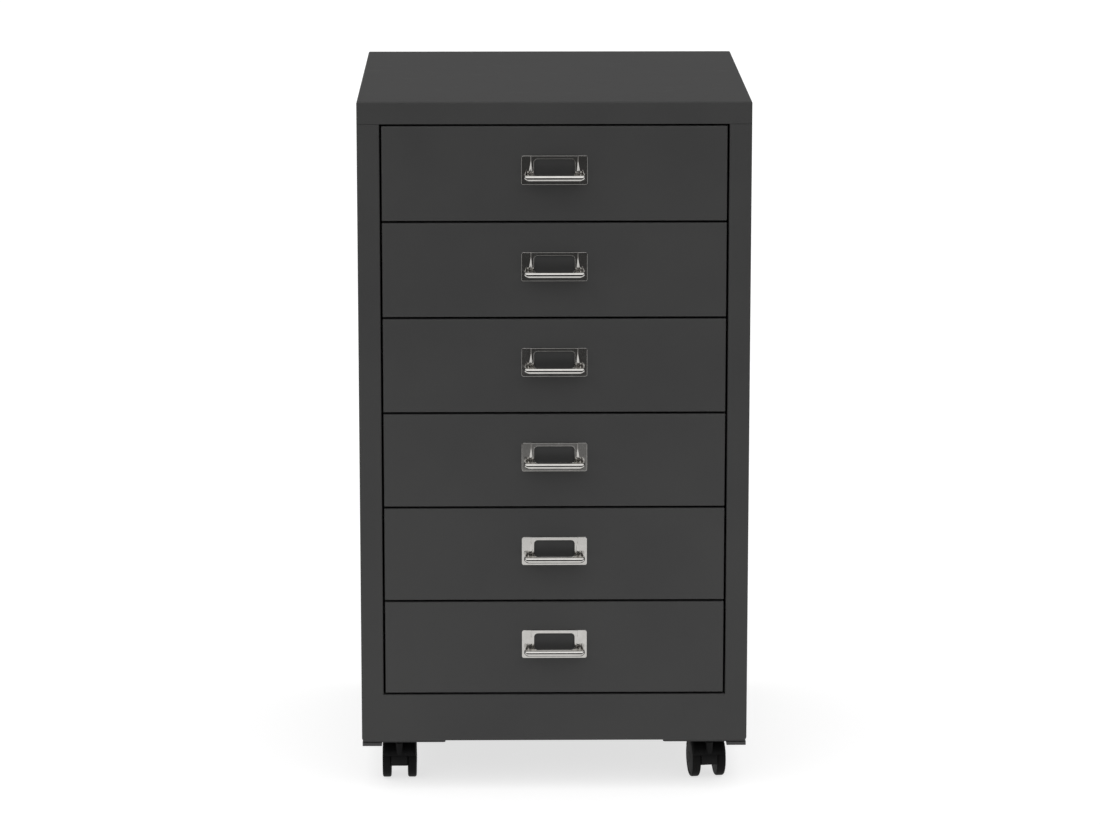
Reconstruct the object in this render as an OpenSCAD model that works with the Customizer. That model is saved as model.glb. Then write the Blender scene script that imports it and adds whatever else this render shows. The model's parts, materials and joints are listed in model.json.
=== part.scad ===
// Six-drawer steel cabinet on twin-wheel castors.
// Frame: +X right, +Y to the back, +Z up, drawers open towards -Y.
// Origin: centre of the overall footprint, on the floor.

/* [Cabinet] */
// Width of the cabinet body
body_w = 385; // [340:1:430]
// Depth of the cabinet body, from the drawer faces to the back edge
body_d = 410; // [380:1:440]
// Height of the top panel's flange
cap_h = 22; // [18:1:28]
// Width of the front edge of each side panel, beside the drawers
stile_w = 22; // [20:1:24]
// Height of the front rail below the lowest drawer
rail_h = 47.7; // [40:0.1:60]
// Height of the body's lower edge above the floor
ride_h = 51.5; // [51.5:0.5:56]
// Thickness of the panel steel
sheet = 0.8; // [0.7:0.1:1.0]

/* [Drawers] */
// Height of one drawer face
face_h = 93.3; // [90:0.1:100]
// Clearance between drawer faces, and round them
gap = 2; // [1.5:0.1:2.5]
// Depth of the folded drawer face
face_d = 15; // [12:1:18]
// Length of the drawer tray
tray_l = 383; // [350:1:384]
// Height of the tray's side walls
tray_h = 76; // [60:1:78]
// Thickness of the tray steel
tray_t = 0.7; // [0.6:0.1:0.8]
// How far a drawer pulls out before its stop
travel = 300; // [200:5:310]

/* [Pulls] */
// Width of the label plate
plate_w = 64.6; // [60:0.1:70]
// Height of the label plate
plate_h = 28.5; // [26:0.1:32]
// How far the pull stands out from the drawer face
pull_out = 17; // [14:0.5:20]
// Width of the finger pull
pull_w = 60; // [54:1:62]

/* [Castors] */
// Diameter of the castor wheels
wheel_d = 40; // [36:1:40]
// Width over both wheels of a castor
castor_w = 35; // [33:0.1:38]
// Distance from the swivel axis to the axle
trail = 11; // [8:1:13]
// Distance of the swivel axes in from the sides
castor_in = 36.5; // [36:0.5:42]
// Angle at which the front right castor stands
front_right_turn = 8; // [-30:1:30]

/* [Hidden] */
$fn = 64;
e = 0.05;                        // clearance between pieces that touch
n_drawers = 6;
pitch = face_h + gap;
rail_top = ride_h + rail_h;
cap_bottom = rail_top + gap + n_drawers * pitch;
body_h = cap_bottom + cap_h;
head_out = 2;                    // height of a screw head
yf = -(body_d + head_out - pull_out) / 2; // plane of the drawer faces
yb = yf + body_d;                // back plane
hw = body_w / 2;
open_x = hw - stile_w;           // half width of the drawer opening
face_x = open_x - gap;           // half width of a drawer face
bend = 0.7;                      // inside radius of a panel bend
run_x = open_x - 6.5;            // inner edge of a runner
tray_x = run_x - 0.8;            // half width of a tray
flange_x = open_x - 1.8;         // outer edge of a tray's sliding flange
tray_y = yf + face_d + 0.2;      // front of a tray
run_y0 = yf + face_d + 1;        // front end of the runners
run_y1 = yb - 14;                // back end of the runners
stop_y = tray_y + tray_l - travel - 1.8; // back face of the runner's stop lug
plate_z = ride_h - 2;            // underside of the castor plates
castor_x = hw - castor_in;
castor_y0 = yf + 40;
castor_y1 = yb - 40;
glide_x = hw - 10.1;
glide_w = 19.4;
wr = wheel_d / 2;
wheel_in = 8.4;                  // inner face of a wheel, from the castor's middle
web = 16.2;                      // width of the castor's middle
boss_r = 4.9;                    // outer radius of the castor's stem boss
boss_z = 28.4;                   // lower end of the stem boss
nose_r = 3.75;                   // radius of the nose on the front of the hood
nose_y = -6.7;                   // its middle, ahead of the stem
back_screw_z = [110, 280, 450, 620];
corners = [[-1, 0], [1, 0], [-1, 1], [1, 1]];
function castor_y(back) = back ? castor_y1 : castor_y0;
function turn_of(sx, back) = (sx > 0 && back == 0) ? front_right_turn : 0;
function face_z(k) = cap_bottom - k * pitch;  // lower edge of drawer k's face, from 1 at the top

paint = [0.24, 0.24, 0.24];
inner_paint = [0.22, 0.22, 0.22];
chrome = [0.82, 0.80, 0.78];
zinc = [0.62, 0.62, 0.60];
black = [0.10, 0.10, 0.10];
grey_plastic = [0.20, 0.20, 0.20];

// ---------- helpers ----------

// Box between two corners
module block(a, b) { translate(a) cube(b - a); }

// Folded sheet in section: a path of right angles along the middle of the sheet
module fold(path, t, ri) {
    n = len(path);
    rc = ri + t / 2;
    for (i = [0 : n - 2]) {
        u = (path[i + 1] - path[i]) / norm(path[i + 1] - path[i]);
        a = path[i] + (i > 0 ? rc : 0) * u;
        b = path[i + 1] - (i < n - 2 ? rc : 0) * u;
        lo = [min(a.x, b.x) - abs(u.y) * t / 2, min(a.y, b.y) - abs(u.x) * t / 2];
        hi = [max(a.x, b.x) + abs(u.y) * t / 2, max(a.y, b.y) + abs(u.x) * t / 2];
        translate(lo) square(hi - lo);
    }
    for (i = [1 : 1 : n - 2]) {
        u = (path[i] - path[i - 1]) / norm(path[i] - path[i - 1]);
        w = (path[i + 1] - path[i]) / norm(path[i + 1] - path[i]);
        translate(path[i] - rc * u + rc * w) intersection() {
            difference() { circle(ri + t); circle(ri); }
            polygon([[0, 0], 9 * u, 9 * (u - w), -9 * w]);
        }
    }
}

// Rectangle between two corners with round corners
module round_rect(a, b, r) {
    translate([a.x + r, a.y]) square([b.x - a.x - 2 * r, b.y - a.y]);
    translate([a.x, a.y + r]) square([b.x - a.x, b.y - a.y - 2 * r]);
    for (x = [a.x + r, b.x - r], y = [a.y + r, b.y - r]) translate([x, y]) circle(r);
}

// Section in Y and Z, extruded along X
module along_x(x0, x1) {
    translate([x0, 0, 0]) rotate([90, 0, 90]) linear_extrude(x1 - x0) children();
}

// Section in X and Z, extruded along Y
module along_y(y0, y1) {
    translate([0, y1, 0]) rotate([90, 0, 0]) linear_extrude(y1 - y0) children();
}

// Shape in X and Y, extruded upwards
module along_z(z0, z1) {
    translate([0, 0, z0]) linear_extrude(z1 - z0) children();
}

// Pan-head screw pointing along +Z, its head below z = 0
module screw(d, l, head) {
    difference() {
        union() {
            cylinder(d = d, h = l);
            rotate_extrude() intersection() {
                translate([0, -head * 0.28]) square([head / 2, head * 0.28]);
                translate([0, head * 0.42]) circle(head * 0.72);
            }
        }
        for (a = [0, 90]) rotate([0, 0, a])
            block([-head * 0.28, -head * 0.06, -head], [head * 0.28, head * 0.06, -head * 0.12]);
    }
}

// Dome-headed rivet pointing along +Y, its head behind y = 0
module rivet(d, grip) {
    rotate([-90, 0, 0]) {
        translate([0, 0, -grip - 0.9]) cylinder(d = d * 1.5, h = 0.9);
        translate([0, 0, -grip]) cylinder(d = d, h = grip);
        rotate_extrude() intersection() {
            square([d, 1.1]);
            translate([0, -3.9]) circle(5);
        }
    }
}

// ---------- carcass ----------

module side_panel() { // the right one
    t = sheet;
    color(paint) difference() {
        union() {
            // outer wall with its front edge, inner return and back flange
            along_z(ride_h, cap_bottom - 0.4)
                fold([[open_x + t / 2, yf + 14], [open_x + t / 2, yf + t / 2], [hw - t / 2, yf + t / 2],
                      [hw - t / 2, yb - t / 2], [hw - 18, yb - t / 2]], t, bend);
            // bottom flange
            along_y(yf + 1.6, yb - 1.6)
                fold([[open_x - 5.5, ride_h + t / 2], [hw - t / 2, ride_h + t / 2], [hw - t / 2, ride_h + 12]], t, 2.2);
            // joggled tabs that hold the top panel
            for (y = [yf + 70, yb - 110]) {
                block([hw - 2, y, cap_bottom - 10], [hw - 1.2, y + 40, cap_bottom + 14]);
                block([hw - 2, y, cap_bottom - 10], [hw - t / 2, y + 40, cap_bottom - 4]);
            }
        }
        // rounded lower corner
        along_y(yf - 1, yb + 1) difference() {
            translate([hw - 3, ride_h - 1]) square([4, 4]);
            translate([hw - 3, ride_h + 3]) circle(3);
            translate([hw - 4, ride_h + 3]) square([5, 4]);
        }
        // room for the front rail behind the stile
        block([open_x - 1, yf + t, ride_h - 1], [open_x + 3, yf + 15, rail_top + 0.3]);
        // relief where the bottom flange passes the front rail
        block([open_x - 6, yf, ride_h + 0.2], [open_x + 0.2, yf + 20.5, ride_h + 3]);
        block([open_x - 7, yf + 1, ride_h - 1], [open_x - 3, yf + 20.5, ride_h + 3]);
        // back panel screws
        for (z = back_screw_z) translate([hw - 9.5, yb - 3, z]) rotate([-90, 0, 0]) cylinder(d = 4.4, h = 6);
        // glide stems and plate screws
        for (y = [yf + 13, yb - 13]) translate([glide_x, y, ride_h - 1]) cylinder(d = 6.4, h = 4);
        for (y = [yf + 70, yb - 70]) translate([hw - 10, y, ride_h - 1]) cylinder(d = 4.4, h = 4);
    }
}

module pan_block(o) { // outside of the top panel, o inside its outer surface
    r = 2 - o;
    intersection() {
        along_x(-hw + o, hw - o) union() {
            translate([yf + o, cap_bottom - 1]) square([body_d - 2 * o, cap_h - 1 - r - o + 2]);
            translate([yf + o + r, body_h - o - r - 1]) square([body_d - 2 * o - 2 * r, r + 1]);
            for (y = [yf + o + r, yb - o - r]) translate([y, body_h - o - r]) circle(r);
        }
        along_y(yf + o, yb - o) union() {
            translate([-hw + o, cap_bottom - 1]) square([body_w - 2 * o, cap_h - 1 - r - o + 2]);
            translate([-hw + o + r, body_h - o - r - 1]) square([body_w - 2 * o - 2 * r, r + 1]);
            for (x = [-hw + o + r, hw - o - r]) translate([x, body_h - o - r]) circle(r);
        }
    }
}

module top_panel() {
    color(paint) union() {
        difference() {
            intersection() {
                pan_block(0);
                along_z(cap_bottom, body_h + 1) round_rect([-hw, yf], [hw, yb], 1.6);
            }
            pan_block(sheet);
        }
        // inward returns along the front and back
        block([-hw + 2, yf + sheet / 2, cap_bottom], [hw - 2, yf + 13, cap_bottom + sheet]);
        block([-hw + 2, yb - 13, cap_bottom], [hw - 2, yb - sheet / 2, cap_bottom + sheet]);
    }
}

module back_panel() {
    color(paint) difference() {
        block([-hw + 1.7, yb - 1.8, ride_h + 2.6], [hw - 1.7, yb - 1.0, cap_bottom - 1]);
        for (s = [-1, 1], z = back_screw_z)
            translate([s * (hw - 9.5), yb - 4, z]) rotate([-90, 0, 0]) cylinder(d = 4.4, h = 6);
    }
}

module base_panel() {
    z0 = ride_h + sheet + 0.1;
    color(paint) difference() {
        union() {
            along_y(yf + 2.2, yb - 2.6)
                fold([[-hw + 3.4, z0 + 18], [-hw + 3.4, z0 + 0.4], [hw - 3.4, z0 + 0.4], [hw - 3.4, z0 + 18]], 0.8, bend + 1.6);
            block([-hw + 8, yb - 3.4, z0], [hw - 8, yb - 2.6, z0 + 16]);
        }
        for (c = corners) {
            translate([c.x * castor_x, castor_y(c.y), z0 - 1]) cylinder(d = 11.4, h = 3);
            translate([c.x * glide_x, c.y ? yb - 13 : yf + 13, z0 - 1]) cylinder(d = 6.4, h = 3);
            for (p = plate_holes(c)) translate([p.x, p.y, z0 - 1]) cylinder(d = 4.4, h = 3);
        }
    }
}

// Where a castor plate is screwed up into the base
function plate_holes(c) = let (y = function(d) c.y ? yb - d : yf + d)
    [[c.x * (hw - 75), y(26)], [c.x * (hw - 75), y(70)], [c.x * (hw - 10), y(70)]];

module front_rail() {
    t = sheet;
    color(paint) union() {
        difference() {
            along_x(-open_x + 0.15, open_x - 0.15)
                fold([[yf + 20, ride_h + t / 2], [yf + t / 2, ride_h + t / 2], [yf + t / 2, rail_top - t / 2],
                      [yf + 24, rail_top - t / 2], [yf + 24, rail_top - 12]], t, bend);
            // the flanges stop short of the side panels
            for (s = [-1, 1]) {
                translate([s * open_x, yf + 12, ride_h]) cube([12.4, 20, 6], center = true);
                translate([s * open_x, yf + 25, rail_top - 10]) cube([12.4, 20, 30], center = true);
            }
        }
        // tabs behind the side panels' front edges
        for (s = [-1, 1]) mirror([s < 0 ? 1 : 0, 0, 0]) {
            block([open_x - 3, yf + 1, ride_h + 10], [hw - 6, yf + 1.8, rail_top - 8]);
            block([open_x - 3, yf + t / 2, ride_h + 10], [open_x - 0.15, yf + 1.8, rail_top - 8]);
        }
    }
}

module runners() { // the right-hand stack
    color(inner_paint) for (k = [1 : n_drawers]) {
        z = face_z(k) + 4 + tray_h - tray_t;     // underside of the tray's flange
        along_y(run_y0, run_y1)
            fold([[run_x, z - 0.7], [hw - sheet - 0.6, z - 0.7], [hw - sheet - 0.6, z + 3.7], [run_x, z + 3.7]], 1, 0.5);
        // lug that stops the drawer
        block([run_x + 1, stop_y - 2.4, z + 1.2], [run_x + 4.5, stop_y, z + 3.6]);
    }
}

// ---------- castor mountings ----------

module castor_plates() {
    color(paint) for (c = corners) difference() {
        along_z(plate_z, plate_z + 1.8)
            round_rect(c.x < 0 ? [-hw + 1, c.y ? yb - 78 : yf + 2] : [hw - 83.5, c.y ? yb - 78 : yf + 2],
                       c.x < 0 ? [-hw + 83.5, c.y ? yb - 2 : yf + 78] : [hw - 1, c.y ? yb - 2 : yf + 78], 2.5);
        translate([c.x * castor_x, castor_y(c.y), plate_z - 1]) cylinder(d = 11.4, h = 4);
        translate([c.x * glide_x, c.y ? yb - 13 : yf + 13, plate_z - 1]) cylinder(d = 6.4, h = 4);
        for (p = plate_holes(c)) translate([p.x, p.y, plate_z - 1]) cylinder(d = 4.4, h = 4);
    }
}

module castor_sockets() {
    color(black) for (c = corners) translate([c.x * castor_x, castor_y(c.y), 0]) difference() {
        union() {
            translate([0, 0, plate_z - 0.9]) cylinder(r = 9, h = 0.85);
            translate([0, 0, plate_z - 0.9]) cylinder(r = 5.6, h = 25);
        }
        translate([0, 0, plate_z - 2]) cylinder(r = 4.05, h = 30);
    }
}

module corner_glides() {
    color(grey_plastic) for (c = corners) translate([c.x * glide_x, c.y ? yb - 13 : yf + 13, 0]) {
        along_z(plate_z - 4.3, plate_z - 1.1) round_rect([-glide_w / 2, -glide_w / 2], [glide_w / 2, glide_w / 2], 1);
        translate([0, 0, plate_z - 1.5]) cylinder(r = 6, h = 1.45);
        translate([0, 0, plate_z - 1]) cylinder(r = 3, h = 10);
    }
}

module back_screws() {
    color(zinc) for (s = [-1, 1], z = back_screw_z)
        translate([s * (hw - 9.5), yb + e, z]) rotate([90, 0, 0]) screw(3.9, 8, 7);
}

module plate_screws() {
    color(zinc) for (c = corners, p = plate_holes(c)) translate([p.x, p.y, plate_z - e]) screw(3.9, 9, 7);
}

// ---------- drawers ----------

module face_block(k, o) { // outside of a drawer face, o inside its outer surface
    z0 = face_z(k) + o;
    z1 = face_z(k) + face_h - o;
    r = 1.5 - o;
    x = face_x - o;
    intersection() {
        along_x(-x, x) union() {
            translate([yf + o + r, z0]) square([face_d - r + 1, z1 - z0]);
            translate([yf + o, z0 + r]) square([r + 1, z1 - z0 - 2 * r]);
            for (z = [z0 + r, z1 - r]) translate([yf + o + r, z]) circle(r);
        }
        along_z(z0, z1) union() {
            translate([-x, yf + o + r]) square([2 * x, face_d - r + 1]);
            translate([-x + r, yf + o]) square([2 * x - 2 * r, r + 1]);
            for (s = [-1, 1]) translate([s * (x - r), yf + o + r]) circle(r);
        }
    }
}

module drawer_front(k) {
    zb = face_z(k);
    color(paint) difference() {
        union() {
            difference() {
                intersection() {
                    face_block(k, 0);
                    along_y(yf - 1, yf + face_d) round_rect([-face_x, zb], [face_x, zb + face_h], 0.9);
                }
                face_block(k, sheet);
            }
            // return lips round the back
            difference() {
                block([-face_x + 0.5, yf + face_d - sheet, zb + 0.5], [face_x - 0.5, yf + face_d, zb + face_h - 0.5]);
                block([-face_x + 12, yf, zb + 12], [face_x - 12, yf + 20, zb + face_h - 12]);
            }
        }
        // slots for the pull's prongs
        for (s = [-1, 1]) translate([s * 28, yf, pull_z(k) - 9]) cube([1.4, 6, 6.4], center = true);
        for (s = [-1, 1], z = [20, 66]) translate([s * (face_x - 9.5), yf + 10, zb + z])
            rotate([-90, 0, 0]) cylinder(d = 3.3, h = 10);
    }
}

module drawer_tray(k) {
    zb = face_z(k) + 4;
    zt = zb + tray_h;
    t = tray_t;
    x = tray_x;
    y1 = tray_y + tray_l;
    color(inner_paint) difference() {
        union() {
            // floor, sides and sliding flanges
            along_y(tray_y, y1)
                fold([[-flange_x, zt - t / 2], [-x + t / 2, zt - t / 2], [-x + t / 2, zb + t / 2],
                      [x - t / 2, zb + t / 2], [x - t / 2, zt - t / 2], [flange_x, zt - t / 2]], t, 0.8);
            // front and back walls
            block([-x + 0.1, tray_y, zb + 0.3], [x - 0.1, tray_y + t, zt - 1.2]);
            block([-x + 0.1, y1 - t, zb + 0.3], [x - 0.1, y1, zt - 4]);
            // stop ears at the back of the flanges
            for (s = [-1, 1]) block([s * (run_x + 2.9) - 1.6, y1 - 1.4, zt - t], [s * (run_x + 2.9) + 1.6, y1, zt + 2.1]);
        }
        // the flanges start behind the face
        for (s = [-1, 1]) translate([s * (x + 5.2), tray_y, zt]) cube([10, 4, 10], center = true);
        for (s = [-1, 1], z = [20, 66]) translate([s * (face_x - 9.5), tray_y - 5, face_z(k) + z])
            rotate([-90, 0, 0]) cylinder(d = 3.3, h = 10);
    }
}

module drawer_rivets(k) {
    color(zinc) for (s = [-1, 1], z = [20, 66])
        translate([s * (face_x - 9.5), tray_y + tray_t + e, face_z(k) + z]) rivet(3.2, tray_t + sheet + 0.2 + 2 * e);
}

// ---------- pulls ----------

// Top edge of drawer k's label plate
function pull_z(k) = face_z(k) + face_h - 29;

// Slab with round ends, half width w, from z0 to z1, its front at y
module pull_bar(w, z0, z1, y, r) {
    h = (z1 - z0) / 2;
    for (s = [-1, 1]) translate([s * (w - r), y + r, z0 + h]) bar_end(r, h);
}

// Upright disc of radius r with a domed rim, half height h
module bar_end(r, h) {
    translate([0, 0, -h * 0.5]) cylinder(r = r, h = h, $fn = 32);
    translate([0, 0, -h]) cylinder(r = r - h * 0.45, h = 2 * h, $fn = 32);
}

// Scoop of the pull, i inside its outer surface; the top of the drawer's label plate is z = 0
module scoop(i) {
    hull() {
        pull_bar(pull_w / 2 - i, -22.9 + i, -17.5 + (i > 0 ? 3 : 0), -pull_out + i, 4 - i * 0.5);
        translate([-25.2 + i, -1.2, -25 + i]) cube([50.4 - 2 * i, 0.6, 11.5 - i + (i > 0 ? 3 : 0)]);
    }
}

module drawer_pull(k) {
    color(chrome) translate([0, yf - e, pull_z(k)]) difference() {
        union() {
            // label plate
            along_y(-0.7, 0) round_rect([-plate_w / 2, -plate_h], [plate_w / 2, 0], 2);
            // raised frame round the label
            along_y(-1.5, -0.5) round_rect([-23.7, -24.3], [23.7, 0], 0.8);
            // finger pull, open at the top
            difference() {
                scoop(0);
                scoop(1.1);
            }
            // prongs through the drawer face, folded outwards behind it
            for (s = [-1, 1]) translate([s * 28, 0, -9]) {
                block([-0.5, -0.5, -2.9], [0.5, 2.2, 2.9]);
                translate([s * 2, 1.55, 0]) cube([5, 1.1, 5.8], center = true);
            }
        }
        // label window
        along_y(-9, 3) round_rect([-20, -20.2], [20, -3], 3.6);
        // card slot behind the frame, open at the top
        block([-22.4, -1, -22.8], [22.4, 1, 1]);
    }
}

// ---------- castors ----------

// Section of a wheel in radius and width: a domed disc in a tyre with round shoulders
module wheel_section(r, w) {
    dome = 200;                                  // radius of the domed face
    at = function(x) w - dome + sqrt(dome * dome - x * x);
    tyre = 3.4;                                  // height of the tyre
    difference() {
        union() {
            intersection() {
                translate([0, w - dome]) circle(dome, $fn = 256);
                translate([0, wheel_in]) square([r - tyre / 2, w]);
            }
            intersection() {
                round_rect([-r, wheel_in], [r, at(r - tyre) + 0.25], 1.9);
                translate([r - tyre, wheel_in - 1]) square([tyre + 1, w]);
            }
        }
        // groove between the tyre and the disc
        translate([r - tyre, at(r - tyre) + 0.3]) circle(0.8);
        // shallow ring round the hub
        translate([5.2, at(5.2) + 0.45]) circle(0.8);
    }
}

module place_castor(sx, back) {
    translate([sx * castor_x, castor_y(back), 0]) rotate([0, 0, turn_of(sx, back)]) children();
}

// Section of the hood in radius and width, and of the room inside it
module hood_section() {
    difference() {
        round_rect([0, -17.1], [wr + 2.8, 17.1], 3.8);
        round_rect([-9, -15.8], [wr + 1.4, 15.8], 2.6);
        square([2 * (wr + 0.6), 60], center = true);
    }
}

module castor_housing() {
    top = plate_z - 1.1;
    color(black) difference() {
        union() {
            difference() {
                union() {
                    // web between the wheels
                    intersection() {
                        translate([0, trail, wr]) rotate([0, 90, 0]) cylinder(r = wr + 0.4, h = web, center = true);
                        along_x(-9, 9)
                            polygon([[trail - 26, 18], [trail, wr - 8.6], [trail + 26, 18], [trail + 26, 60], [trail - 26, 60]]);
                    }
                    // hood over the wheels
                    difference() {
                        translate([0, trail, wr]) rotate([0, 90, 0]) rotate_extrude() hood_section();
                        translate([-30, -30, -10]) cube([60, 90, 37]);
                    }
                    // rib that joins the hood to the web
                    intersection() {
                        translate([0, trail, wr]) rotate([0, 90, 0]) cylinder(r = wr + 2.1, h = web, center = true);
                        block([-9, -20, 27], [9, 40, 60]);
                    }
                }
                // level shoulder under the boss
                translate([-30, -30, wr + 25]) cube([60, 90, 20]);
            }
            // stem boss, and the nose in front of it that runs down the hood
            translate([0, 0, boss_z]) cylinder(r = boss_r, h = top - boss_z);
            translate([0, nose_y, boss_z]) cylinder(r = nose_r, h = wr + 20 - boss_z);
            translate([0, nose_y, wr + 20]) cylinder(r1 = nose_r, r2 = nose_r - 1.8, h = 1.8);
            translate([0, 0, wr + 21]) cylinder(r = 8.5, h = top - wr - 21);
        }
        translate([0, 0, boss_z + 1]) cylinder(r = 4.02, h = 40);
        translate([0, trail, wr]) rotate([0, 90, 0]) cylinder(r = 2.52, h = 60, center = true);
    }
}

module castor_stem() {
    color(zinc) rotate_extrude() polygon([[0, boss_z + 1.1], [4, boss_z + 1.1], [4, 66], [3.5, 66.5], [3.5, 68.5], [4, 69],
        [4, 71.5], [2.8, 73], [0, 73]]);
}

module castor_axle() {
    color(zinc) translate([-14, trail, wr]) rotate([0, 90, 0]) cylinder(r = 2.5, h = 28);
}

module castor_wheel(s) {
    w = castor_w / 2;
    color(black) translate([0, trail, wr]) rotate([0, s * 90, 0]) difference() {
        rotate_extrude() wheel_section(wr, w);
        translate([0, 0, 5]) cylinder(r = 2.55, h = 9.2);
    }
}

// ---------- the assembly, one node at a time ----------

module mirrored() { mirror([1, 0, 0]) children(); }

mirrored() side_panel();  // side_panel_left
side_panel();  // side_panel_right
top_panel();
back_panel();
base_panel();
front_rail();
mirrored() runners();  // drawer_runners_left
runners();  // drawer_runners_right
castor_plates();
castor_sockets();
corner_glides();
back_screws();
plate_screws();

drawer_front(1);  // drawer_1_front
drawer_tray(1);  // drawer_1_tray
drawer_pull(1);  // drawer_1_pull
drawer_rivets(1);  // drawer_1_rivets
drawer_front(2);  // drawer_2_front
drawer_tray(2);  // drawer_2_tray
drawer_pull(2);  // drawer_2_pull
drawer_rivets(2);  // drawer_2_rivets
drawer_front(3);  // drawer_3_front
drawer_tray(3);  // drawer_3_tray
drawer_pull(3);  // drawer_3_pull
drawer_rivets(3);  // drawer_3_rivets
drawer_front(4);  // drawer_4_front
drawer_tray(4);  // drawer_4_tray
drawer_pull(4);  // drawer_4_pull
drawer_rivets(4);  // drawer_4_rivets
drawer_front(5);  // drawer_5_front
drawer_tray(5);  // drawer_5_tray
drawer_pull(5);  // drawer_5_pull
drawer_rivets(5);  // drawer_5_rivets
drawer_front(6);  // drawer_6_front
drawer_tray(6);  // drawer_6_tray
drawer_pull(6);  // drawer_6_pull
drawer_rivets(6);  // drawer_6_rivets

place_castor(-1, 0) castor_housing();  // castor_front_left_housing
place_castor(-1, 0) castor_stem();  // castor_front_left_stem
place_castor(-1, 0) castor_axle();  // castor_front_left_axle
place_castor(-1, 0) castor_wheel(-1);  // castor_front_left_wheel_left
place_castor(-1, 0) castor_wheel(1);  // castor_front_left_wheel_right
place_castor(1, 0) castor_housing();  // castor_front_right_housing
place_castor(1, 0) castor_stem();  // castor_front_right_stem
place_castor(1, 0) castor_axle();  // castor_front_right_axle
place_castor(1, 0) castor_wheel(-1);  // castor_front_right_wheel_left
place_castor(1, 0) castor_wheel(1);  // castor_front_right_wheel_right
place_castor(-1, 1) castor_housing();  // castor_rear_left_housing
place_castor(-1, 1) castor_stem();  // castor_rear_left_stem
place_castor(-1, 1) castor_axle();  // castor_rear_left_axle
place_castor(-1, 1) castor_wheel(-1);  // castor_rear_left_wheel_left
place_castor(-1, 1) castor_wheel(1);  // castor_rear_left_wheel_right
place_castor(1, 1) castor_housing();  // castor_rear_right_housing
place_castor(1, 1) castor_stem();  // castor_rear_right_stem
place_castor(1, 1) castor_axle();  // castor_rear_right_axle
place_castor(1, 1) castor_wheel(-1);  // castor_rear_right_wheel_left
place_castor(1, 1) castor_wheel(1);  // castor_rear_right_wheel_right
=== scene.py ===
import json
import math

import bmesh
import bpy
from mathutils import Matrix, Vector

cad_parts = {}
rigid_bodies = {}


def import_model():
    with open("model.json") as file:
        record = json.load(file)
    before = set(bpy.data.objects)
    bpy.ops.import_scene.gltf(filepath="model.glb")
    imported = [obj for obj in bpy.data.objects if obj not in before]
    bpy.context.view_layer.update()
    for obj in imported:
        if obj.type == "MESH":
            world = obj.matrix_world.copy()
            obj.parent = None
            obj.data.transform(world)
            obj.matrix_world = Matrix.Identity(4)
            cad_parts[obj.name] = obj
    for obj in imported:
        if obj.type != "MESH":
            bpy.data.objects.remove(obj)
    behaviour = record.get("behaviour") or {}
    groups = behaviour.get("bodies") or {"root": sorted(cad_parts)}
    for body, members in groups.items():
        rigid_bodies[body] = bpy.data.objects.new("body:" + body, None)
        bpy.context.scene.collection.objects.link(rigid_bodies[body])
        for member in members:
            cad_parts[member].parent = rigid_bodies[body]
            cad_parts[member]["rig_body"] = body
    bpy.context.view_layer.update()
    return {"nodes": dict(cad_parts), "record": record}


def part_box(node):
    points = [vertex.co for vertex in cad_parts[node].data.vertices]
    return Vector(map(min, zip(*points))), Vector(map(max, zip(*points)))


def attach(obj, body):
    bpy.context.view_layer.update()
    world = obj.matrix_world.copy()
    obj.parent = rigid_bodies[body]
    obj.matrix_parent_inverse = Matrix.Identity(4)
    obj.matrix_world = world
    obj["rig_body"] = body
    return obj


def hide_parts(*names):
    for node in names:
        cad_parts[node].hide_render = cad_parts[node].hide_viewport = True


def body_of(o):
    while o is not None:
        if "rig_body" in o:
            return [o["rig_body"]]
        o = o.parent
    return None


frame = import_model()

nodes = frame["nodes"]
scene = bpy.context.scene
MM = 0.001


# ---------------------------------------------------------------- materials

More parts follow.
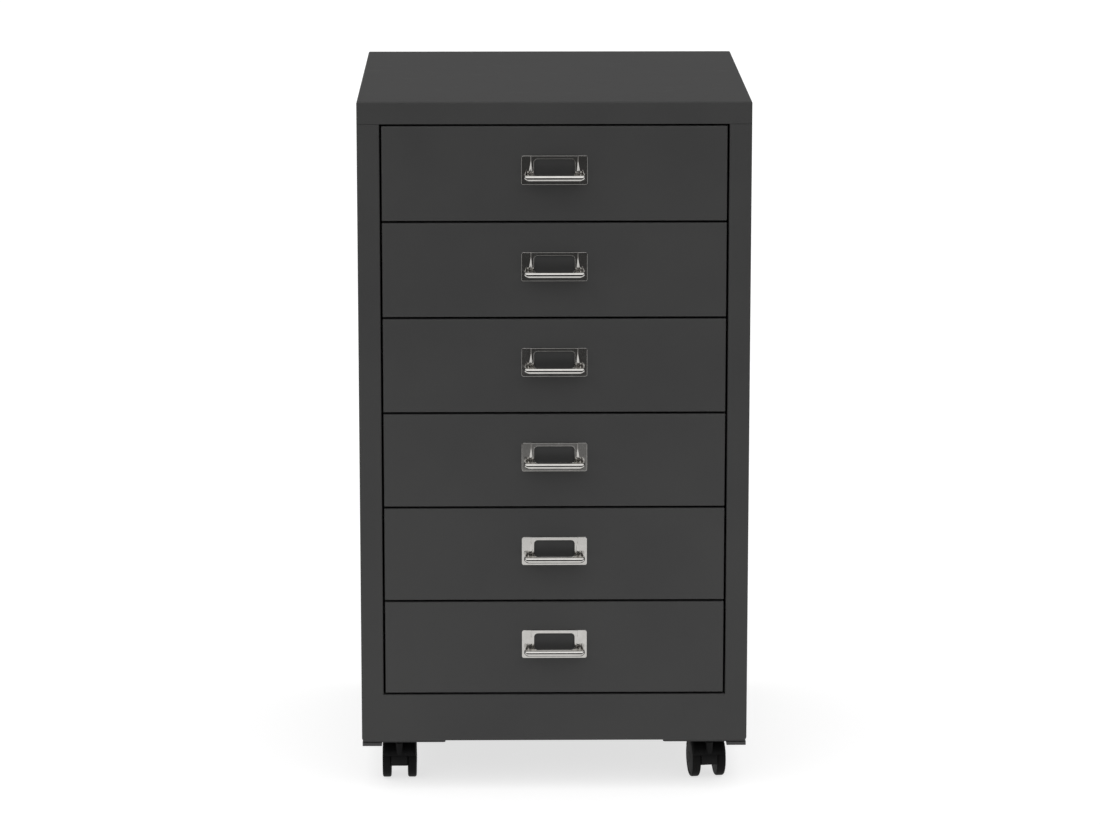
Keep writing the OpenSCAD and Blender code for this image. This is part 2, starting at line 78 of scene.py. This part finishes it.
class Nodes:
    """A material's node tree, with a Principled shader to plug things into."""

    def __init__(self, name):
        self.mat = bpy.data.materials.new(name)
        self.mat.use_nodes = True
        self.tree = self.mat.node_tree
        self.tree.nodes.clear()
        self.out = self.tree.nodes.new("ShaderNodeOutputMaterial")
        self.bsdf = self.tree.nodes.new("ShaderNodeBsdfPrincipled")
        self.tree.links.new(self.bsdf.outputs[0], self.out.inputs[0])
        self.coord = self.tree.nodes.new("ShaderNodeTexCoord").outputs["Object"]

    def link(self, a, b):
        self.tree.links.new(a, b)
        return b

    def stretched(self, scale, turn=(0, 0, 0)):
        m = self.tree.nodes.new("ShaderNodeMapping")
        m.inputs["Scale"].default_value = scale
        m.inputs["Rotation"].default_value = turn
        self.link(self.coord, m.inputs["Vector"])
        return m.outputs[0]

    def noise(self, scale, detail=2.0, rough=0.5, vector=None, distortion=0.0):
        n = self.tree.nodes.new("ShaderNodeTexNoise")
        n.inputs["Scale"].default_value = scale
        n.inputs["Detail"].default_value = detail
        n.inputs["Roughness"].default_value = rough
        n.inputs["Distortion"].default_value = distortion
        self.link(vector or self.coord, n.inputs["Vector"])
        return n.outputs["Fac"]

    def voronoi(self, scale, feature="F1", vector=None):
        n = self.tree.nodes.new("ShaderNodeTexVoronoi")
        n.feature = feature
        n.inputs["Scale"].default_value = scale
        self.link(vector or self.coord, n.inputs["Vector"])
        return n.outputs["Distance"]

    def ramp(self, value, low, high, a=0.0, b=1.0):
        """value from low..high becomes a..b, clamped."""
        n = self.tree.nodes.new("ShaderNodeMapRange")
        n.inputs["From Min"].default_value = low
        n.inputs["From Max"].default_value = high
        n.inputs["To Min"].default_value = a
        n.inputs["To Max"].default_value = b
        self.link(value, n.inputs["Value"])
        return n.outputs["Result"]

    def mix(self, fac, a, b):
        n = self.tree.nodes.new("ShaderNodeMix")
        n.data_type = "RGBA"
        self.link(fac, n.inputs["Factor"])
        for value, socket in ((a, n.inputs[6]), (b, n.inputs[7])):
            if isinstance(value, tuple):
                socket.default_value = (*value, 1.0)
            else:
                self.link(value, socket)
        return n.outputs[2]

    def math(self, op, a, b):
        n = self.tree.nodes.new("ShaderNodeMath")
        n.operation = op
        for value, socket in ((a, n.inputs[0]), (b, n.inputs[1])):
            if isinstance(value, (int, float)):
                socket.default_value = value
            else:
                self.link(value, socket)
        return n.outputs[0]

    def bump(self, height, distance, strength=1.0, below=None):
        n = self.tree.nodes.new("ShaderNodeBump")
        n.inputs["Strength"].default_value = strength
        n.inputs["Distance"].default_value = distance
        self.link(height, n.inputs["Height"])
        if below is not None:
            self.link(below, n.inputs["Normal"])
        return n.outputs["Normal"]

    def set(self, **values):
        for key, value in values.items():
            socket = self.bsdf.inputs[key.replace("_", " ")]
            if isinstance(value, bpy.types.NodeSocket):
                self.link(value, socket)
            else:
                socket.default_value = (*value, 1.0) if isinstance(value, tuple) else value
        return self.mat


def powder_coat(name, dark, light, rough, spec):
    """Satin powder coat: soft orange peel, faint cloudiness, a little grain and a few rubbed spots."""
    n = Nodes(name)
    cloud = n.noise(9.0, 3.0, 0.55)
    grain = n.noise(2600.0, 2.0, 0.6)
    peel = n.noise(520.0, 1.0, 0.4)
    sag = n.noise(7.0, 1.0, 0.4)
    rubbed = n.noise(38.0, 5.0, 0.62, n.stretched((1.0, 1.0, 0.35)))
    tone = n.math("ADD", n.math("MULTIPLY", cloud, 0.75), n.math("MULTIPLY", grain, 0.25))
    colour = n.mix(n.ramp(tone, 0.36, 0.64), dark, light)
    shine = n.math("ADD", n.ramp(cloud, 0.3, 0.7, rough - 0.03, rough + 0.03),
                   n.ramp(rubbed, 0.6, 0.78, 0.0, -0.06))
    shine = n.math("ADD", shine, n.ramp(grain, 0.3, 0.7, -0.02, 0.02))
    normal = n.bump(sag, 0.0009, 0.25)
    normal = n.bump(peel, 0.000035, 0.55, normal)
    normal = n.bump(grain, 0.000012, 0.6, normal)
    return n.set(Base_Color=colour, Roughness=shine, Normal=normal, Specular_IOR_Level=spec)


def plated(name, dark, light, rough, streak=0.3):
    """Polished plate over stamped steel: a slightly uneven mirror with hairline polishing marks."""
    n = Nodes(name)
    wave = n.noise(26.0, 1.0, 0.4)
    haze = n.noise(150.0, 3.0, 0.6)
    lines = n.noise(1400.0, 2.0, 0.6, n.stretched((0.05, 1.0, 1.0)))
    colour = n.mix(n.ramp(haze, 0.35, 0.65), dark, light)
    shine = n.math("ADD", n.ramp(haze, 0.3, 0.7, rough * 0.8, rough * 1.2),
                   n.ramp(lines, 0.45, 0.75, 0.0, 0.1 * streak))
    normal = n.bump(wave, 0.00006, 0.2)
    normal = n.bump(lines, 0.000002, streak, normal)
    return n.set(Base_Color=colour, Roughness=shine, Normal=normal, Metallic=1.0)


def zinc_plate(name):
    """Dull bright zinc with a fine crystalline mottling."""
    n = Nodes(name)
    crystals = n.voronoi(900.0)
    haze = n.noise(160.0, 4.0, 0.6)
    colour = n.mix(n.ramp(n.math("MULTIPLY", crystals, haze), 0.05, 0.5), (0.46, 0.45, 0.43), (0.62, 0.61, 0.60))
    shine = n.ramp(haze, 0.3, 0.7, 0.28, 0.46)
    normal = n.bump(crystals, 0.00002, 0.4)
    return n.set(Base_Color=colour, Roughness=shine, Normal=normal, Metallic=1.0)


def moulded(name, dark, light, rough, grain_size=1500.0, dust=0.0, spec=0.5):
    """Moulded plastic with a fine spark-eroded grain, faint flow marks and a little dust."""
    n = Nodes(name)
    grain = n.voronoi(grain_size)
    fine = n.noise(grain_size * 1.6, 2.0, 0.6)
    flow = n.noise(55.0, 3.0, 0.5, n.stretched((1.0, 1.0, 0.4)))
    specks = n.noise(700.0, 3.0, 0.7)
    colour = n.mix(n.ramp(n.math("ADD", n.math("MULTIPLY", flow, 0.6), n.math("MULTIPLY", fine, 0.4)), 0.35, 0.65),
                   dark, light)
    if dust:
        colour = n.mix(n.ramp(specks, 0.62, 0.8, 0.0, dust), colour, (0.035, 0.034, 0.032))
    shine = n.math("ADD", n.ramp(flow, 0.3, 0.7, rough - 0.05, rough + 0.05), n.ramp(specks, 0.6, 0.8, 0.0, 0.12))
    normal = n.bump(grain, 0.00003, 0.5)
    normal = n.bump(fine, 0.00001, 0.5, normal)
    return n.set(Base_Color=colour, Roughness=shine, Normal=normal, Specular_IOR_Level=spec)


paint = powder_coat("paint_anthracite", (0.0430, 0.0430, 0.0430), (0.0484, 0.0484, 0.0479), 0.60, 0.18)
# the drawer fronts, a shade darker
paint_front = powder_coat("paint_drawer_front", (0.0404, 0.0404, 0.0404), (0.0454, 0.0454, 0.0449), 0.56, 0.24)
inner = powder_coat("paint_inside", (0.040, 0.040, 0.040), (0.046, 0.046, 0.0455), 0.62, 0.18)
chrome = plated("plate_polished", (0.457, 0.446, 0.427), (0.509, 0.498, 0.479), 0.10)
zinc = zinc_plate("plate_zinc")
castor_black = moulded("nylon_black", (0.0050, 0.0050, 0.0052), (0.0085, 0.0085, 0.0085), 0.46, 1500.0, 0.0, 0.10)
tread_black = moulded("nylon_tread", (0.0050, 0.0050, 0.0051), (0.0088, 0.0087, 0.0085), 0.55, 1200.0, 0.25, 0.05)
glide_grey = moulded("polypropylene_grey", (0.028, 0.028, 0.029), (0.034, 0.034, 0.034), 0.48, 1300.0)
BY_SLOT = {"paint": paint, "inner_paint": inner, "chrome": chrome, "zinc": zinc,
           "castor_plastic": castor_black, "glide_plastic": glide_grey}


# ---------------------------------------------------------------- mesh helpers

def finish_mesh(name, verts, faces, mat, angle=32.0, weighted=True):
    me = bpy.data.meshes.new(name)
    me.from_pydata([tuple(c * MM for c in v) for v in verts], [], faces)
    bm = bmesh.new()
    bm.from_mesh(me)
    bmesh.ops.remove_doubles(bm, verts=bm.verts, dist=1e-7)
    bmesh.ops.dissolve_degenerate(bm, edges=bm.edges, dist=1e-8)
    bmesh.ops.recalc_face_normals(bm, faces=bm.faces)
    bm.to_mesh(me)
    bm.free()
    me.shade_smooth()
    me.set_sharp_from_angle(angle=math.radians(angle))
    me.materials.append(mat)
    o = bpy.data.objects.new(name, me)
    scene.collection.objects.link(o)
    if weighted:
        w = o.modifiers.new("even_normals", "WEIGHTED_NORMAL")
        w.keep_sharp = True
        w.weight = 60
    return o


class Build:
    def __init__(self):
        self.v, self.f = [], []

    def rows(self, rows, loop_u=False, loop_v=False):
        """Quads over a grid of points: rows of equal length."""
        base, nv, nu = len(self.v), len(rows), len(rows[0])
        for r in rows:
            self.v.extend(r)
        for j in range(nv if loop_v else nv - 1):
            for i in range(nu if loop_u else nu - 1):
                a, b = base + j * nu + i, base + j * nu + (i + 1) % nu
                c, d = base + ((j + 1) % nv) * nu + (i + 1) % nu, base + ((j + 1) % nv) * nu + i
                self.f.append((a, b, c, d))
        return base

    def ring(self, path, profile_at):
        """A closed profile carried round a closed path."""
        self.rows([profile_at(p) for p in path], loop_u=True, loop_v=True)

    def box(self, lo, hi, r=0.15):
        """Box with small chamfers, as three overlapping shells would show no corner."""
        x0, y0, z0 = lo
        x1, y1, z1 = hi
        rows = []
        for z, d in ((z0, r), (z0 + r, 0.0), (z1 - r, 0.0), (z1, r)):
            rows.append([(x0 + r, y0 + d, z), (x1 - r, y0 + d, z), (x1 - d, y0 + r, z), (x1 - d, y1 - r, z),
                         (x1 - r, y1 - d, z), (x0 + r, y1 - d, z), (x0 + d, y1 - r, z), (x0 + d, y0 + r, z)])
        base = self.rows(rows, loop_u=True)
        self.f.append(tuple(base + i for i in range(8)))
        self.f.append(tuple(base + 24 + i for i in reversed(range(8))))


def rounded_rect(x0, x1, z0, z1, r, nc=8, ns=3):
    """Points round a rectangle with round corners, the same number for any size."""
    pts = []
    for cx, cz, a0 in ((x1 - r, z1 - r, 0), (x0 + r, z1 - r, 90), (x0 + r, z0 + r, 180), (x1 - r, z0 + r, 270)):
        for i in range(nc + 1):
            a = math.radians(a0 + 90.0 * i / nc)
            pts.append((cx + r * math.cos(a), cz + r * math.sin(a)))
    out = []
    for i, p in enumerate(pts):
        out.append(p)
        if i % (nc + 1) == nc:
            q = pts[(i + 1) % len(pts)]
            for k in range(1, ns):
                out.append((p[0] + (q[0] - p[0]) * k / ns, p[1] + (q[1] - p[1]) * k / ns))
    return out


def lerp(a, b, t):
    return a + (b - a) * t


def smooth(t):
    t = min(1.0, max(0.0, t))
    return t * t * (3 - 2 * t)


# ---------------------------------------------------------------- label-holder pull

PLATE_W, PLATE_H, WIN_X, WIN_TOP, WIN_BOTTOM, WIN_R = 64.6, 28.5, 20.0, -3.2, -20.3, 3.6
FRAME_X, FRAME_BOTTOM = 23.1, -24.3
PLATE_T, FRAME_BACK, FRAME_FRONT = 0.55, -0.85, -1.3


def flare(z):
    """How far the raised frame's flank fans out above the scoop: nothing at the top, all of it above the rim."""
    return smooth((-z - 3.0) / 15.0) * (1 - smooth((-z - 20.6) / 3.0))


def plate_shell(b, x, z0, z1, r, y_back, y_front, edge, win_edge, wx, wz0, wz1, wr, waist=None):
    """Flat ring of sheet between an outer rounded rectangle and a window, with rolled-over front edges."""
    steps = 5
    loops = []                      # (points, y)

    def outer(d, y):
        pts = rounded_rect(-x + d, x - d, z0 + d, z1 - d, max(r - d, 0.12), ns=14)
        if waist:
            pts = [(math.copysign(abs(px) - waist(pz), px) if abs(px) > x - 1.2 else px, pz) for px, pz in pts]
        loops.append([(px, y, pz) for px, pz in pts])

    def window(d, y):
        loops.append([(px, y, pz) for px, pz in rounded_rect(-wx - d, wx + d, wz0 - d, wz1 + d, wr + d, ns=14)])

    outer(0.0, y_back)
    outer(0.0, y_front + edge * 1.25)
    for i in range(steps + 1):
        a = math.pi / 2 * i / steps
        outer(edge * (1 - math.cos(a)), y_front + edge * (1 - math.sin(a)))
    outer(edge * 1.5, y_front)
    window(win_edge * 1.5, y_front)
    for i in range(steps + 1):
        a = math.pi / 2 * (1 - i / steps)
        window(win_edge * (1 - math.cos(a)), y_front + win_edge * (1 - math.sin(a)))
    window(0.0, y_front + win_edge * 1.2)
    window(0.0, y_back)
    b.rows(loops, loop_u=True, loop_v=True)


def filleted(points, radii, n):
    """Polyline with its inner corners rounded, n+1 points on each arc, 2D."""
    out = [points[0]]
    for i in range(1, len(points) - 1):
        p, q, s, r = Vector(points[i - 1]), Vector(points[i]), Vector(points[i + 1]), radii[i - 1]
        u, w = (p - q).normalized(), (s - q).normalized()
        half = math.acos(max(-1, min(1, u.dot(w)))) / 2
        t = min(r / math.tan(half), (p - q).length * 0.92, (s - q).length * 0.45)
        r = t * math.tan(half)
        c = q + (u + w).normalized() * (r / math.sin(half))
        a0, a1 = q + u * t - c, q + w * t - c
        ang = a0.angle(a1) if a0.length > 1e-9 and a1.length > 1e-9 else 0.0
        sign = 1 if a0.x * a1.y - a0.y * a1.x > 0 else -1
        for k in range(n + 1):
            th = sign * ang * k / n
            out.append((c.x + a0.x * math.cos(th) - a0.y * math.sin(th), c.y + a0.x * math.sin(th) + a0.y * math.cos(th)))
    out.append(points[-1])
    return out


def scoop_levels():
    """The finger scoop's section: (depth, half width, foot half width, height, rise at the plate).

    From the plate along the underside, up round the rolled rim and down the cove inside, back to the plate."""
    top, low, bulge, reach, flat = -17.5, -23.3, 2.2, 14.7, 0.55
    mid, half = (top + low) / 2, (top - low - flat) / 2

    def rim_point(deg):
        """A point of the rolled rim, by the direction that it faces: 0 ahead, 90 up, 180 back."""
        a = math.radians(deg)
        side = math.tanh((deg - 8) / 2.5) * flat / 2                  # the narrow flat along the rim's front
        z = mid + half * math.sin(a) + side
        under = smooth((mid - z) / half) if deg < 90 else 0.0
        rise = 3.8 * (1 - smooth((top - z) / (top - low))) if deg < 90 else 3.8
        return (reach + bulge * math.cos(a) - 0.14 * side, 29.4 + 1.5 * math.cos(a) - 1.5 * under,
                27.4 - 2.0 * under - 0.9 * smooth((deg - 90) / 68), z, rise)

    rim = [rim_point(d) for d in [158 - 145 * i / 13 for i in range(13)] + [13, 10.5, 8, 5.5, 3] +
           [3 - 83 * i / 7 for i in range(1, 8)]]
    under_side = []
    p1, w1, x1, z1, r1 = rim[-1]
    m = 9
    for i in range(1, m + 1):
        t = i / m
        under_side.append((lerp(p1, 0.65, t ** 0.92), lerp(w1, 25.4, smooth(t * 2.2)), lerp(x1, 24.6, t),
                           lerp(z1, -24.9, math.sin(t * math.pi / 2) ** 1.15), r1 * (1 - t)))
    cove = []
    p0, w0, x0, z0, r0 = rim[0]
    a = math.radians(158)
    q = [(p0, z0), (p0 - 2.6 * math.sin(a), z0 + 2.6 * math.cos(a)), (8.6, -23.5), (5.2, -23.6)]
    for i in range(1, 15):
        t = i / 14
        c = ((1 - t) ** 3, 3 * t * (1 - t) ** 2, 3 * t * t * (1 - t), t ** 3)
        p, z = (sum(k * v[j] for k, v in zip(c, q)) for j in (0, 1))
        f = (p0 - p) / (p0 - 5.2)
        cove.append((p, w0 - 2.4 * f, x0 - 1.5 * f, z, r0 * (1 - smooth(t * 1.1)) ** 1.2))
    for i in range(1, 5):
        t = i / 4
        cove.append((lerp(5.2, 0.6, t), lerp(w0 - 2.4, 25.0, t), lerp(x0 - 1.5, 24.0, t), lerp(-23.6, -24.1, t), 0.0))
    return list(reversed(under_side)) + list(reversed(rim)) + cove


def scoop_row(level, nc=12, nl=9, nf=4):
    p, w, foot, z, rise = level
    depth = max(p, 0.6)
    corner = min(3.4, max(0.1, (depth - 0.3) * 0.3))
    path = filleted([(-foot, -0.35), (-w, -depth), (w, -depth), (foot, -0.35)],
                    [corner, corner], nc)
    # even out the legs and the front so every level has the same number of points
    a, arc1, arc2, b = path[0], path[1:2 + nc], path[2 + nc:3 + 2 * nc], path[-1]
    pts = [(lerp(a[0], arc1[0][0], k / nl), lerp(a[1], arc1[0][1], k / nl)) for k in range(nl)]
    pts += arc1
    pts += [(lerp(arc1[-1][0], arc2[0][0], k / nf), lerp(arc1[-1][1], arc2[0][1], k / nf)) for k in range(1, nf)]
    pts += arc2
    pts += [(lerp(arc2[-1][0], b[0], k / nl), lerp(arc2[-1][1], b[1], k / nl)) for k in range(1, nl + 1)]
    row = []
    for x, y in pts:
        back = max(0.0, 1 - (-y - 0.35) / max(depth - 0.35, 0.3))
        row.append((x, y, z + rise * back ** 1.1))
    return row


def pull_mesh(k, z_plate, y_face):
    b = Build()
    # back plate with its ears
    plate_shell(b, PLATE_W / 2, -PLATE_H, 0.0, 2.0, 0.0, -PLATE_T, 0.30, 0.1, WIN_X, WIN_BOTTOM, WIN_TOP, WIN_R)
    # raised frame with the card slot behind it
    plate_shell(b, FRAME_X, FRAME_BOTTOM, 0.0, 0.8, FRAME_BACK, FRAME_FRONT, 0.26, 0.36, WIN_X, WIN_BOTTOM, WIN_TOP,
                WIN_R, waist=lambda z: 2.1 * flare(z))
    # flanks that carry the frame, fanned out above the scoop
    for s in (-1, 1):
        rows = []
        for i in range(23):
            t = i / 22
            z = lerp(-0.1, FRAME_BOTTOM + 0.2, t)
            x0, x1 = FRAME_X - 0.24 - 2.2 * flare(z), FRAME_X + 0.12 + 1.8 * flare(z)
            row = []
            for j in range(21):
                u = j / 20
                row.append((s * lerp(x0, x1, u),
                            lerp(FRAME_FRONT + 0.03, -PLATE_T + 0.05, smooth(u)) - flare(z) * (0.34 * math.sin(math.pi * u) +
                                                                                              0.07 * math.sin(3 * math.pi * u)), z))
            row += [(s * (x1 - 0.1), -PLATE_T + 0.2, z), (s * x0, -PLATE_T + 0.2, z)]
            rows.append(row)
        base = b.rows(rows, loop_u=True)
        m = len(rows[0])
        b.f.append(tuple(base + i for i in range(m)))
        b.f.append(tuple(base + 22 * m + i for i in reversed(range(m))))
    # finger scoop, its feet in the plate
    rows = [scoop_row(level) for level in scoop_levels()]
    nu = len(rows[0])
    base = b.rows(rows, loop_v=True)
    for end in (0, nu - 1):
        b.f.append(tuple(base + j * nu + end for j in range(len(rows))))
    # prongs through the drawer face, folded over behind it
    for s in (-1, 1):
        b.box((s * 28 - 0.5, -0.5, -11.9), (s * 28 + 0.5, 2.1, -6.1), 0.12)
        b.box((s * 30 - 2.5, 1.05, -11.9), (s * 30 + 2.5, 2.08, -6.1), 0.12)
    verts = [(x, y + y_face - 0.05, z + z_plate) for x, y, z in b.v]
    o = finish_mesh("pull_%d" % k, verts, b.f, chrome, 40.0)
    return o


for k in range(1, 7):
    lo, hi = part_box("drawer_%d_front" % k)
    face_top = hi.z / MM
    y_face = lo.y / MM
    piece = pull_mesh(k, face_top - 29.0, y_face)
    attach(piece, "drawer_%d" % k)
    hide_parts("drawer_%d_pull" % k)


# ---------------------------------------------------------------- dressed joints beside the front rail

def dressed_joint(side, body):
    """The filled and ground joint between the front rail and a side panel's front edge, painted over."""
    rail_lo, rail_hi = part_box("front_rail")
    z0, z1, y_face = rail_lo.z / MM, rail_hi.z / MM, rail_lo.y / MM
    joint_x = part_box("drawer_6_front")[1].x / MM + 2.0        # the panel's inner edge, one gap from the drawer face
    r = 1.5                                                   # outer radius of the folds that it meets
    b = Build()
    rows = []
    for i in range(25):
        t = i / 24
        z = lerp(z0 + 0.25, z1 - 0.25, smooth(t) if i in (0, 24) else t)
        if i in range(1, 7):
            z = z0 + 0.25 + 1.3 * i / 6
        elif i in range(18, 24):
            z = z1 - 0.25 - 1.3 * (24 - i) / 6
        elif 7 <= i <= 17:
            z = lerp(z0 + 1.6, z1 - 1.6, (i - 7) / 10)
        d = max(0.0, (z0 + r) - z, z - (z1 - r))
        f = y_face + r - math.sqrt(max(r * r - d * d, 0.0)) - 0.006
        rows.append([(side * (joint_x + x), f + y, z) for x, y in
                     ((-1.1, 0.5), (-1.0, 0.03), (-0.7, 0.0), (0.6, 0.0), (1.7, 0.0), (2.0, 0.03), (2.1, 0.5))])
    base = b.rows(rows, loop_u=True)
    m = len(rows[0])
    b.f.append(tuple(base + i for i in range(m)))
    b.f.append(tuple(base + 24 * m + i for i in reversed(range(m))))
    o = finish_mesh("rail_joint_%s" % ("left" if side < 0 else "right"), b.v, b.f, paint, 40.0)
    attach(o, body)


def joint_bead(side, body):
    """The sealing bead in the joint between the top panel's flange and a side panel, just inside the surface."""
    panel_lo, panel_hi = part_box("side_panel_right")
    hw, y0, y1, z = panel_hi.x / MM, panel_lo.y / MM, panel_hi.y / MM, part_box("top_panel")[0].z / MM
    stile_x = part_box("drawer_6_front")[1].x / MM + 2.0
    r, path = 1.05, [((stile_x + 0.3, y0 + 0.55), (0.0, -1.0))]
    for cx, cy, a0 in ((hw - 0.55 - r, y0 + 0.55 + r, -90), (hw - 0.55 - r, y1 - 0.55 - r, 0)):
        for i in range(7):
            a = math.radians(a0 + 15 * i)
            path.append(((cx + r * math.cos(a), cy + r * math.sin(a)), (math.cos(a), math.sin(a))))
    path.append(((hw - 17.6, y1 - 0.55), (0.0, 1.0)))
    b = Build()
    rows = [[(side * (x + d * nx), y + d * ny, z + h) for d, h in
             ((0.2, -0.40), (0.2, -0.02), (0.15, 0.03), (-0.15, 0.03), (-0.2, -0.02), (-0.2, -0.40), (-0.15, -0.45), (0.15, -0.45))]
            for (x, y), (nx, ny) in path]
    base = b.rows(rows, loop_u=True)
    m = len(rows[0])
    b.f.append(tuple(base + i for i in range(m)))
    b.f.append(tuple(base + (len(rows) - 1) * m + i for i in reversed(range(m))))
    o = finish_mesh("joint_bead_%s" % ("left" if side < 0 else "right"), b.v, b.f, paint, 40.0)
    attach(o, body)


def back_seal(body):
    """The strip that closes the slit between the back panel's top edge and the top panel."""
    back_lo, back_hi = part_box("back_panel")
    b = Build()
    b.box((back_lo.x / MM + 0.3, back_lo.y / MM + 0.06, back_hi.z / MM - 0.02),
          (back_hi.x / MM - 0.3, back_hi.y / MM - 0.06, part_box("top_panel")[0].z / MM + 0.02), 0.05)
    o = finish_mesh("back_seal", b.v, b.f, inner, 40.0)
    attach(o, body)


carcass = body_of(nodes["front_rail"])[0]
for side in (-1, 1):
    dressed_joint(side, carcass)
    joint_bead(side, carcass)
back_seal(carcass)


# ---------------------------------------------------------------- the CAD nodes

slots = {s["node"]: s.get("material_slot") for s in frame["record"]["subparts"]}
for name, o in nodes.items():
    mat = tread_black if "_wheel_" in name else paint_front if name.endswith("_front") else BY_SLOT[slots[name]]
    if not o.material_slots:
        o.data.materials.append(mat)
    for s in o.material_slots:
        s.material = mat
    o.data.shade_smooth()
    o.data.set_sharp_from_angle(angle=math.radians(28))
    w = o.modifiers.new("even_normals", "WEIGHTED_NORMAL")
    w.keep_sharp = True
    w.weight = 60


# ---------------------------------------------------------------- floor, light and camera

def stage_material(name, colour, rough, lit=0.0):
    n = Nodes(name)
    fibre = n.noise(3.0, 4.0, 0.5)
    return n.set(Base_Color=n.mix(n.ramp(fibre, 0.3, 0.7), tuple(c * 0.995 for c in colour), colour), Roughness=rough,
                 Specular_IOR_Level=0.0, Emission_Color=(1.0, 1.0, 1.0), Emission_Strength=lit)


def flat_sheet(name, corners, z, mat):
    me = bpy.data.meshes.new(name)
    me.from_pydata([(x, y, z) for x, y in corners], [], [tuple(range(len(corners)))])
    me.materials.append(mat)
    o = bpy.data.objects.new(name, me)
    scene.collection.objects.link(o)
    if me.polygons[0].normal.z < 0:
        me.flip_normals()
    return o


flat_sheet("studio_floor", [(-60, -60), (60, -60), (60, 60), (-60, 60)], 0.0,
           stage_material("floor_white", (0.42, 0.42, 0.42), 0.9, 0.70))
flat_sheet("dark_card", [(-0.55, -1.42), (0.14, -1.42), (0.53, -1.95), (2.1, -4.0), (36.0, -60.0), (-36.0, -60.0), (-2.3, -4.0)],
           0.002, stage_material("card_black", (0.06, 0.06, 0.06), 0.9))
flat_sheet("dim_card", [(-0.55, -1.42), (0.14, -1.42), (0.53, -1.95), (-0.85, -2.00)], 0.004,
           stage_material("card_dim", (0.24, 0.24, 0.24), 0.9))

# the studio: white low down, dimmer above, and dark behind the camera up to the lamp's lower edge
world = bpy.data.worlds.new("studio")
scene.world = world
world.use_nodes = True
wt = world.node_tree
wt.nodes.clear()


def world_node(kind, **values):
    n = wt.nodes.new(kind)
    for key, value in values.items():
        socket = n.inputs[key.replace("_", " ")]
        if isinstance(value, bpy.types.NodeSocket):
            wt.links.new(value, socket)
        else:
            socket.default_value = value
    return n


def world_range(value, low, high, a, b):
    n = world_node("ShaderNodeMapRange", Value=value, From_Min=low, From_Max=high, To_Min=a, To_Max=b)
    n.interpolation_type = "SMOOTHSTEP"
    return n.outputs["Result"]


def world_product(a, b):
    n = wt.nodes.new("ShaderNodeMath")
    n.operation = "MULTIPLY"
    wt.links.new(a, n.inputs[0])
    wt.links.new(b, n.inputs[1])
    return n.outputs[0]


axes = world_node("ShaderNodeSeparateXYZ", Vector=wt.nodes.new("ShaderNodeTexCoord").outputs["Generated"])
walls = world_range(axes.outputs["Z"], 0.04, 0.11, 1.0, 0.25)
behind = world_product(world_range(axes.outputs["Y"], -0.85, -0.6, 0.95, 0.0),
                       world_range(axes.outputs["Z"], 0.28, 0.40, 1.0, 0.0))
glow = world_product(walls, world_range(behind, 0.0, 1.0, 1.0, 0.0))
bg = world_node("ShaderNodeBackground", Strength=glow)
bg.inputs["Color"].default_value = (1.0, 1.0, 1.0, 1.0)
wt.links.new(bg.outputs[0], wt.nodes.new("ShaderNodeOutputWorld").inputs[0])


def sun(name, strength, angle, direction, colour=(1, 1, 1)):
    d = bpy.data.lights.new(name, "SUN")
    d.energy = strength
    d.angle = math.radians(angle)
    d.color = colour
    o = bpy.data.objects.new(name, d)
    scene.collection.objects.link(o)
    o.rotation_mode = "QUATERNION"
    o.rotation_quaternion = Vector(direction).to_track_quat("-Z", "Y")
    return o


sun("top_light", 2.45, 104, (0.03, 0.33, -1.0))

cam_data = bpy.data.cameras.new("camera")
cam = bpy.data.objects.new("camera", cam_data)
scene.collection.objects.link(cam)
scene.camera = cam
# fitted to the photograph's key points: focal length in pixels of a frame 1100 wide, pan and tilt in degrees
F_PX, PAN, TILT = 4250.0, -0.68, 11.68
cam.location = (-0.053, -4.298, 1.235)
cam_data.sensor_fit = "HORIZONTAL"
cam_data.sensor_width = 36.0
cam_data.lens = 36.0 * F_PX / 1100.0
cam.rotation_mode = "QUATERNION"
pan, tilt = math.radians(PAN), math.radians(TILT)
look = Vector((math.sin(-pan) * math.cos(tilt), math.cos(pan) * math.cos(tilt), -math.sin(tilt)))
cam.rotation_quaternion = look.to_track_quat("-Z", "Y")
cam_data.clip_start, cam_data.clip_end = 0.05, 200.0
cam_data.dof.use_dof = False

scene.view_settings.view_transform = "Standard"
scene.view_settings.look = "None"
scene.view_settings.exposure = 0.0
scene.view_settings.gamma = 1.0
